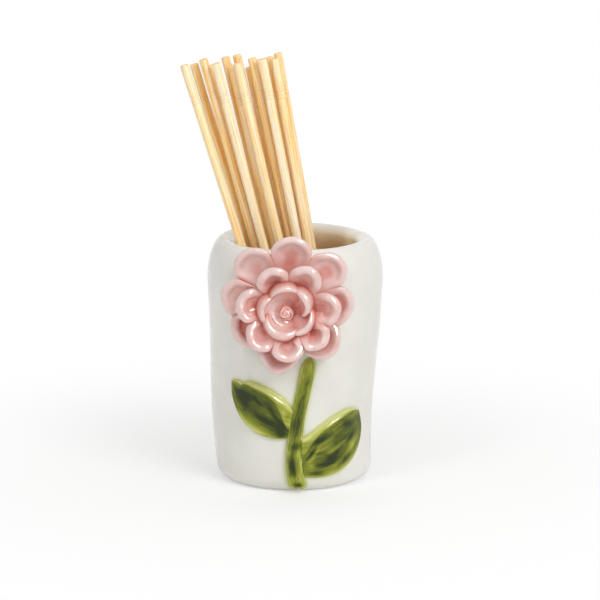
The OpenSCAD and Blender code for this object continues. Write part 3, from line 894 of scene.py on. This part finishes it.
def bud():
    """Rings of the rolled bud, a lumpy dome, and of the cavity that the inner petals close in."""
    a = around(PETAL_SIDES)
    climb = np.linspace(1, 0, CAVITY_RINGS)[:, None]
    cavity_r = np.concatenate([[[CAVITY_R]], lerp(BUD_R, CAVITY_R, climb)]) + 0 * a
    dip = CAVITY_DIP_DEPTH * np.clip(np.cos(a - CAVITY_DIP), 0, 1) ** CAVITY_DIP_SHARP
    cavity_w = np.concatenate([BUD_FOOT + 0 * a[None], CAVITY_LOW + CAVITY_RISE * (1 - dip) * climb**2])
    near = np.exp(2 * (np.cos(a - FOLD_TURN) - 1) / FOLD_SPAN**2)
    fold = near * bell(cavity_r - FOLD_R, FOLD_W)
    behind = near * bell(cavity_r - FOLD_BACK_R, FOLD_BACK_W)
    share = np.linspace(*BUD_SHARES, BUD_RINGS)[:, None]
    spiral = np.cos(2 * np.pi * BUD_R * share / BUD_PITCH + a + BUD_WOBBLE * np.sin(3 * a))
    uneven = lerp(1, np.sin(4 * a + BUD_LUMP_TURN * share), BUD_LUMP)
    lump = spiral * uneven * np.sqrt(np.sin(np.pi * np.clip(share, BUD_CALM, 1) ** 2))
    dome_w = lerp(CAVITY_LOW + BUD_SEAT, BUD_TOP, np.sqrt(1 - share**2)) + BUD_RIDGE * lump
    r = np.concatenate([cavity_r, BUD_R * share + 0 * a])
    w = np.concatenate([cavity_w + FOLD_RISE * fold, dome_w])
    # painted shade of the cavity, paler on the fold's crest, with glaze gathered behind the fold
    cavity_shade_and_pool = cavity_shade(a) - fold + FOLD_BACK_POOL * behind
    hollow_and_shade = np.concatenate([cavity_shade_and_pool, BUD_POOL - BUD_VALLEY * lump])
    return on_bloom(r * np.cos(a), r * np.sin(a) - BUD_DROP, w), hollow_and_shade


def pad():
    """Rings of the clay pad that carries the bloom."""
    a = around(PETAL_SIDES)
    turn = np.linspace(0, np.pi / 2, num=8)[1:]
    edge_r, edge_w = PAD_ROUND * np.cos(turn), PAD_ROUND * np.sin(turn)
    r = np.concatenate([PAD_R * np.array(PAD_BACK), PAD_R - PAD_ROUND + edge_r])[:, None]
    w = np.concatenate([np.full(len(PAD_BACK), -PAD_SUNK), PAD_TOP - PAD_ROUND + edge_w])[:, None]
    return on_bloom(r * np.cos(a), r * np.sin(a), w + 0 * a), np.ones((len(r), PETAL_SIDES))


def make_bloom(material):
    shapes = {"flower_pad": pad(), "flower_bud": bud()}
    whorls = (("outer", OUTER, bowl_petal), ("middle", MIDDLE, bowl_petal), ("inner", INNER, crescent_petal))
    for title, whorl, petal in whorls:
        for i in range(len(whorl["angles"])):
            shapes[f"{title}_petal_{i + 1}"] = petal(whorl, i)
    return [
        glazed_piece(node, rings, {"hollow_and_shade": hollow_and_shade}, material)
        for node, (rings, hollow_and_shade) in shapes.items()
    ]


def hemisphere(count):
    """Directions spread evenly by the cosine over the side that faces +Z."""
    k = np.arange(count) + 0.5
    r = np.sqrt(k / count)
    a = k * np.pi * (3 - math.sqrt(5))
    return np.stack([r * np.cos(a), r * np.sin(a), np.sqrt(1 - r * r)], 1)


def tree_of(pieces):
    points, faces = [], []
    for piece in pieces:
        start = len(points)
        points.extend(v.co.copy() for v in piece.data.vertices)
        faces.extend([start + k for k in f.vertices] for f in piece.data.polygons)
    return BVHTree.FromPolygons(points, faces)


def closed_in(vertex, rays, tree):
    """How far other petals close a point in, from 0 in the open to 1; it sets the painted shade."""
    reach = POOL_REACH * MM
    turn = vertex.normal.to_track_quat("Z", "Y")
    start = vertex.co + vertex.normal * POOL_LIFT * MM
    hits = [tree.ray_cast(start, turn @ ray, reach)[3] for ray in rays]
    return sum(1 - distance / reach for distance in hits if distance is not None) / len(rays)


def pool_glaze(pieces, tree):
    """Marks glaze gathered in the middle of each bowl, and painted shade where other petals close a place in.
    """
    rays = [Vector(d) for d in hemisphere(POOL_RAYS)]
    for piece in pieces:
        mesh = piece.data
        hollow_and_shade = np.zeros(len(mesh.vertices), np.float32)
        mesh.attributes["hollow_and_shade"].data.foreach_get("value", hollow_and_shade)
        # painted shade: darker where other petals close a point in
        closed_shade = np.array([closed_in(vertex, rays, tree) for vertex in mesh.vertices])
        pool_and_shade = np.clip(POOL_LEAST + POOL_HOLLOW * hollow_and_shade + CLOSED_SHADE * closed_shade, 0, 1)
        layer = mesh.attributes.new("pool_and_shade", "FLOAT", "POINT")
        layer.data.foreach_set("value", pool_and_shade.astype(np.float32))


def stem_share(z):
    return (z - STEM_FOOT_Z) / (STEM_TOP_Z - STEM_FOOT_Z)


def stem_w(share):
    pinch = (STEM_FOOT_W + STEM_TOP_W) / 2 - STEM_MID_W
    return lerp(STEM_FOOT_W, STEM_TOP_W, share) - 4 * share * (1 - share) * pinch


def stem_edge(z, side):
    return bezier(STEM_COURSE, stem_share(z)) + side * stem_w(stem_share(z)) / 2


def painted(strokes, along, across):
    """How dark the brush strokes make a place."""
    dark = np.zeros(np.broadcast_shapes(np.shape(along), np.shape(across)))
    for place, level, half_long, half_wide, lean, depth in strokes:
        off = across - level - lean * (along - place)
        dark = dark + depth * bell(along - place, half_long) * bell(off, half_wide)
    return dark


def make_stem(material):
    step = (np.arange(STEM_RINGS) + 0.5) / STEM_RINGS
    z = lerp(STEM_FOOT_Z, STEM_TOP_Z, (1 - np.cos(np.pi * step)) / 2)[:, None]
    swell = quarter_round(np.minimum((z - STEM_FOOT_Z) / STEM_END, (STEM_TOP_Z - z) / STEM_TAPER))
    middle = (stem_edge(z, -1) + stem_edge(z, 1)) / 2
    half_w = swell * (stem_edge(z, 1) - stem_edge(z, -1)) / 2
    a = np.pi * np.arange(STEM_SIDES + 1) / STEM_SIDES
    across = np.concatenate([np.cos(a), STEM_BACK])
    top_h = swell * STEM_H * np.sin(a) ** STEM_FULL
    h = np.concatenate([top_h, -STEM_SUNK + 0 * STEM_BACK * z], 1)
    rings = on_wall(middle + half_w * across, z + 0 * across, h)
    course = np.stack([z / BRUSH_LEN + 0 * across, across + 0 * z, 0 * across * z], -1)
    edge = np.concatenate([np.abs(np.cos(a)) ** STEM_EDGE_SHARP, 0 * STEM_BACK + 1])
    shade = STEM_SHADE - STEM_EDGE_PALE * edge - STEM_END_PALE * (1 - swell)
    shade = shade + painted(STEM_STROKES, stem_share(z), across)
    layers = {"course": course[:, ::-1], "shade": shade[:, ::-1]}
    return glazed_piece("stem", rings[:, ::-1], layers, material)


def fold_line(leaf, t):
    """Where the upper rim folds over, across the leaf: low at the stem, near the upper edge further out."""
    from_root = np.exp(-((t / leaf["fold_run"]) ** LEAF_FOLD_BEND))
    return lerp(leaf["fold"], leaf["fold_root"], from_root)


def leaf_height(c, t, fold_at):
    """Height of a leaf above the wall: a broad lower face, a groove, and an upper rim that folds over."""
    face = LEAF_FACE * quarter_round(c / LEAF_EDGE) - LEAF_HOLLOW * np.sin(np.pi * c)
    fade = 1 - smooth((t - LEAF_FADE) / LEAF_FADE_RUN)
    from_root = smooth(t / LEAF_ROOT_RUN)
    groove = LEAF_GROOVE * bell(c - fold_at, LEAF_GROOVE_W) * fade * from_root
    rise = np.clip((c - fold_at) / (1 - fold_at), 0, 1)
    over = np.sin(np.pi * rise**LEAF_FOLD_FULL) ** LEAF_FOLD_FULL
    fold = LEAF_FOLD * over * fade * lerp(LEAF_FOLD_ROOT, 1, from_root)
    h = (face - groove + fold) * quarter_round((1 - c) / LEAF_TOP_EDGE)
    return np.clip(h, LEAF_LEAST, None) * np.sqrt(1 - t**LEAF_TIP_SHARP)


def leaf_edges(leaf, t):
    """Lower and upper edge of a leaf, out from the stem and up from the low end of its seam."""
    seam, reach, rise = leaf["seam"], leaf["reach"], leaf["rise"]
    low_1, low_2 = leaf["low_pull"]
    high_1, high_2 = leaf["high_pull"]
    low = [[0, 0], [reach * low_1[0], rise * low_1[1]], [reach * low_2[0], rise * low_2[1]], [reach, rise]]
    high = [
        [0, seam], [reach * high_1[0], seam + rise * high_1[1]],
        [reach * high_2[0], rise * high_2[1]], [reach, rise],
    ]
    under, over = bezier(low, t), bezier(high, t)
    over[:, 1] -= leaf["notch"] * bell(t - LEAF_NOTCH, LEAF_NOTCH_RUN)
    return under, over


def leaf_shade(leaf, c, t, fold_at):
    """How dark a leaf is: pale at its rim, its fold and its tip, with the brush strokes over that."""
    rim = np.clip(1 - np.minimum(c, 1 - c) / LEAF_EDGE, 0, 1) ** RIM_FADE
    fold = smooth((c - fold_at) / FOLD_BLEND)
    pale = RIM_PALE * rim + FOLD_PALE * fold + TIP_PALE * t**TIP_FADE
    return leaf["shade"] - pale + painted(leaf["strokes"], t, c)


def make_leaf(node, leaf, material):
    side, tip = leaf["side"], leaf["tip_share"]
    low_z = STEM_TOP_Z * leaf["seam_share"]
    t = tip * np.linspace(0, 1, LEAF_RINGS)[:, None]
    under, over = leaf_edges(leaf, t[:, 0])
    c_top = np.linspace(0, 1, LEAF_CELLS)
    c = np.concatenate([c_top, c_top[-2:0:-LEAF_BACK_STEP]])
    past = np.clip((t - tip + LEAF_ROUND) / LEAF_ROUND, 0, LEAF_ROUND_END)
    tucked = 0.5 + (c - 0.5) * np.sqrt(1 - past**2)
    out = lerp(under[:, :1], over[:, :1], tucked)
    up = lerp(under[:, 1:], over[:, 1:], tucked)
    edge_x = lerp(stem_edge(low_z + leaf["seam"] * c, side), stem_edge(low_z, side), t)
    fold_at = fold_line(leaf, t)
    on_top = np.arange(len(c)) < LEAF_CELLS
    h = np.where(on_top, SLIP + leaf_height(c, t, fold_at), -LEAF_SUNK)
    rings = on_wall(edge_x + side * (LEAF_GAP + out - LEAF_TUCK * (1 - t)), low_z + up, h)
    run = t * leaf["reach"] / BRUSH_LEN
    course = np.stack([run + 0 * c, 2 * c - 1 + 0 * t, 0 * c * t + BRUSH_APART * side], -1)
    layers = {"course": course, "shade": leaf_shade(leaf, c, t, fold_at)}
    if side > 0:
        rings = rings[:, ::-1]
        layers = {key: values[:, ::-1] for key, values in layers.items()}
    return glazed_piece(node, rings, layers, material)


def pick_axis(node, axis):
    """Lower and upper end of a pick's middle line and its radius, from its CAD solid."""
    points = np.array([v.co for v in frame["nodes"][node].data.vertices]) / MM
    along = points @ axis
    foot = points[along < along.min() + END_SLICE]
    top = points[along > along.max() - END_SLICE]
    foot, top = (foot.min(0) + foot.max(0)) / 2, (top.min(0) + top.max(0)) / 2
    off = points - foot
    radius = np.linalg.norm(off - np.outer(off @ axis, axis), axis=1).max()
    return foot, top, radius


def pick_lines():
    """Foot, direction, length and radius of every pick."""
    lines = {}
    for index in range(1, PICK_COUNT + 1):
        joint = next(j for j in frame["joints"] if j["child"] == f"pick_{index:02d}")
        axis = np.array(joint["axis"])
        foot, top, radius = pick_axis(f"toothpick_{index:02d}", axis)
        lines[index] = foot, axis, np.linalg.norm(top - foot), radius
    return lines


def ring_share(z, length):
    """How far into one of the ring grooves below the top a height is, from 0 to 1."""
    share = np.zeros_like(z)
    for k in range(GROOVE_COUNT):
        place = length - GROOVE_DROP - k * GROOVE_PITCH
        share = np.maximum(share, np.clip(1 - np.abs(z - place) / (GROOVE_W / 2), 0, 1))
    return share


def pick_rows(length):
    """Heights of the rings of a pick, close together at its point, its grooves and its worn top."""
    point = np.linspace(0, POINT_LEN, POINT_ROWS)
    shank = np.linspace(POINT_LEN, length - SHANK_END, SHANK_ROWS)
    steps = np.arange(-1, GROOVE_COUNT * GROOVE_ROWS) * GROOVE_PITCH / GROOVE_ROWS
    grooves = length - GROOVE_DROP - steps
    return np.unique(np.concatenate([point, shank, grooves, length - np.array(WORN_DROPS)]))


def pick_radius(z, length, radius):
    tip = lerp(POINT_R, radius, np.clip(z / POINT_LEN, 0, 1) ** POINT_FULL)
    worn = WORN * np.clip((z - (length - WORN_H)) / WORN_H, 0, 1) ** 2
    return tip - GROOVE_DEPTH * ring_share(z, length) - worn


def pick_tone_and_shade(index):
    """Each pick's own shade of wood, from its number, with painted shade for its row in the bundle."""
    own = math.modf(index * TONE_STEP + TONE_START)[0]
    return TONE_SPREAD * (own - 0.5) + ROW_SHADES[(index - 1) % len(ROW_SHADES)]


def crevice_shade_share(points, index, lines):
    """How near each point of a pick is to another pick, from 0 to 1 where they touch; it sets the painted
    shade between picks.
    """
    share = np.zeros(points.shape[:2])
    for other, (foot, axis, length, radius) in lines.items():
        if other != index:
            off = points - foot
            along = np.clip(off @ axis, 0, length)
            gap = np.linalg.norm(off - along[..., None] * axis, axis=-1) - radius
            share = np.maximum(share, 1 - np.clip(gap / CREVICE_REACH, 0, 1))
    return share


def make_pick(index, lines, material):
    node = f"toothpick_{index:02d}"
    body = f"pick_{index:02d}"
    foot, axis, length, radius = lines[index]
    right = np.cross(axis, (0.0, 1.0, 0.0))
    right /= np.linalg.norm(right)
    ahead = np.cross(axis, right)
    z = pick_rows(length)[:, None]
    a = around(PICK_SIDES)
    phase = PICK_TURN * index
    flats = 1 + PICK_FLATS * np.cos(3 * a + phase) + PICK_RIPPLE * np.cos(5 * a - 2 * phase + z / PICK_TWIST)
    r = PICK_SLIM * pick_radius(z, length, radius) * flats
    r = np.concatenate([r, np.array(CAP_SHARES)[:, None] * r[-1]])
    z = np.concatenate([z, length - np.array(CAP_DROPS)[:, None]])
    spokes = np.cos(a)[:, None] * right + np.sin(a)[:, None] * ahead
    rings = foot + r[..., None] * spokes + z[..., None] * axis
    apart_x, apart_y = GRAIN_APART
    grain = np.stack([r * np.cos(a) + apart_x * index, r * np.sin(a) + apart_y * index, z + 0 * r], -1)
    layers = {
        "grain": grain,
        "tone_and_row_shade": pick_tone_and_shade(index) + 0 * r,
        "cut": np.clip((z - (length - CUT_H)) / CUT_RUN, 0, 1) + 0 * r,
        "crevice_shade": crevice_shade_share(rings, index, lines) ** CREVICE_SHARP,
        "ring": RING_TINT * ring_share(z, length) + 0 * r,
    }
    return loft_piece(node + "_turned", rings, layers, body, node, material)


def seen_ray(tree):
    """1 for a ray that shows the background: straight to the camera, mirrored or passed through."""
    path = add_node(tree, "ShaderNodeLightPath")
    shown = math_node(tree, "MAXIMUM", path.outputs["Is Camera Ray"], path.outputs["Is Glossy Ray"])
    return math_node(tree, "MAXIMUM", shown, path.outputs["Is Transmission Ray"])


def floor_material():
    """A pale floor that keeps a faint shadow round the cup and turns plain white away from it."""
    material, tree, shader = new_material("pale_floor")
    place = object_place(tree)
    cloud = noise(tree, place, scale=4.0, detail=2.0)
    set_inputs(tree, shader, {
        "Base Color": ramp(tree, cloud, [(0.3, (250, 250, 249)), (0.7, (254, 254, 253))]),
        "Roughness": 0.9,
        "Specular IOR Level": 0.0,
    })
    away = add_node(tree, "ShaderNodeVectorMath", {"operation": "LENGTH"}, {0: place}).outputs["Value"]
    far = map_range(tree, {"Value": away, "From Max": FLOOR_SHADOW_R, "To Min": FLOOR_WHITE}, "SMOOTHSTEP")
    white = add_node(tree, "ShaderNodeEmission", inputs={"Color": WHITE, "Strength": 1.0})
    seen = math_node(tree, "MULTIPLY", far, seen_ray(tree))
    blend = add_node(tree, "ShaderNodeMixShader", inputs={0: seen, 1: shader.outputs[0], 2: white.outputs[0]})
    tree.links.new(blend.outputs[0], tree.nodes["Material Output"].inputs["Surface"])
    return material


def make_floor():
    corners = [(-1, -1), (1, -1), (1, 1), (-1, 1)]
    mesh = bpy.data.meshes.new("floor")
    mesh.from_pydata([(FLOOR_HALF * x, FLOOR_HALF * y, 0) for x, y in corners], [], [(0, 1, 2, 3)])
    mesh.materials.append(floor_material())
    floor = bpy.data.objects.new("floor", mesh)
    bpy.context.scene.collection.objects.link(floor)


def make_world():
    world = bpy.data.worlds.new("studio")
    bpy.context.scene.world = world
    world.use_nodes = True
    tree = world.node_tree
    level = map_range(tree, {"Value": seen_ray(tree), "To Min": WORLD_FILL, "To Max": 1.0})
    set_inputs(tree, tree.nodes["Background"], {"Color": WHITE, "Strength": level})


def add_softbox(name, place, size, power, glint=False):
    """An area lamp. A glint is only mirrored in the glaze and lights nothing by itself."""
    lamp = bpy.data.lights.new(name, "AREA")
    lamp.shape = "RECTANGLE"
    lamp.size, lamp.size_y = size
    lamp.energy = power
    box = bpy.data.objects.new(name, lamp)
    box.location = place
    box.rotation_mode = "QUATERNION"
    box.rotation_quaternion = (Vector(LAMP_AIM) - Vector(place)).to_track_quat("-Z", "Y")
    box.visible_diffuse = not glint
    bpy.context.scene.collection.objects.link(box)


def make_camera():
    data = bpy.data.cameras.new("camera")
    data.lens = CAMERA_LENS
    data.sensor_width = CAMERA_SENSOR
    data.clip_start = 0.05
    data.clip_end = 20.0
    camera = bpy.data.objects.new("camera", data)
    elevation = math.radians(CAMERA_ELEVATION)
    back = Vector((0, -math.cos(elevation), math.sin(elevation)))
    camera.location = (Vector(CAMERA_TARGET) + back * CAMERA_DISTANCE) * MM
    camera.rotation_mode = "QUATERNION"
    camera.rotation_quaternion = (-back).to_track_quat("-Z", "Y")
    bpy.context.scene.collection.objects.link(camera)
    bpy.context.scene.camera = camera


pink_glaze = glaze("pink_glaze", pink_colour, ripple=0.07)
green_glaze = glaze("green_glaze", green_colour, gloss=1.38)
white_glaze = glaze("white_glaze", white_colour, ripple=0.02, gloss=1.35)
bloom_pieces = make_bloom(pink_glaze)
green_pieces = [make_stem(green_glaze)]
for node, leaf in LEAVES.items():
    green_pieces.append(make_leaf(node, leaf, green_glaze))
bloom_tree = tree_of(bloom_pieces)
pool_glaze(bloom_pieces, bloom_tree)
make_cup(white_glaze, tree_of(green_pieces), bloom_tree)
wood = pale_wood()
picks = pick_lines()
for number in picks:
    make_pick(number, picks, wood)
make_floor()
make_world()
for name, lamp in LAMPS.items():
    add_softbox(name, **lamp)
make_camera()
bpy.context.scene.view_settings.view_transform = "Standard"
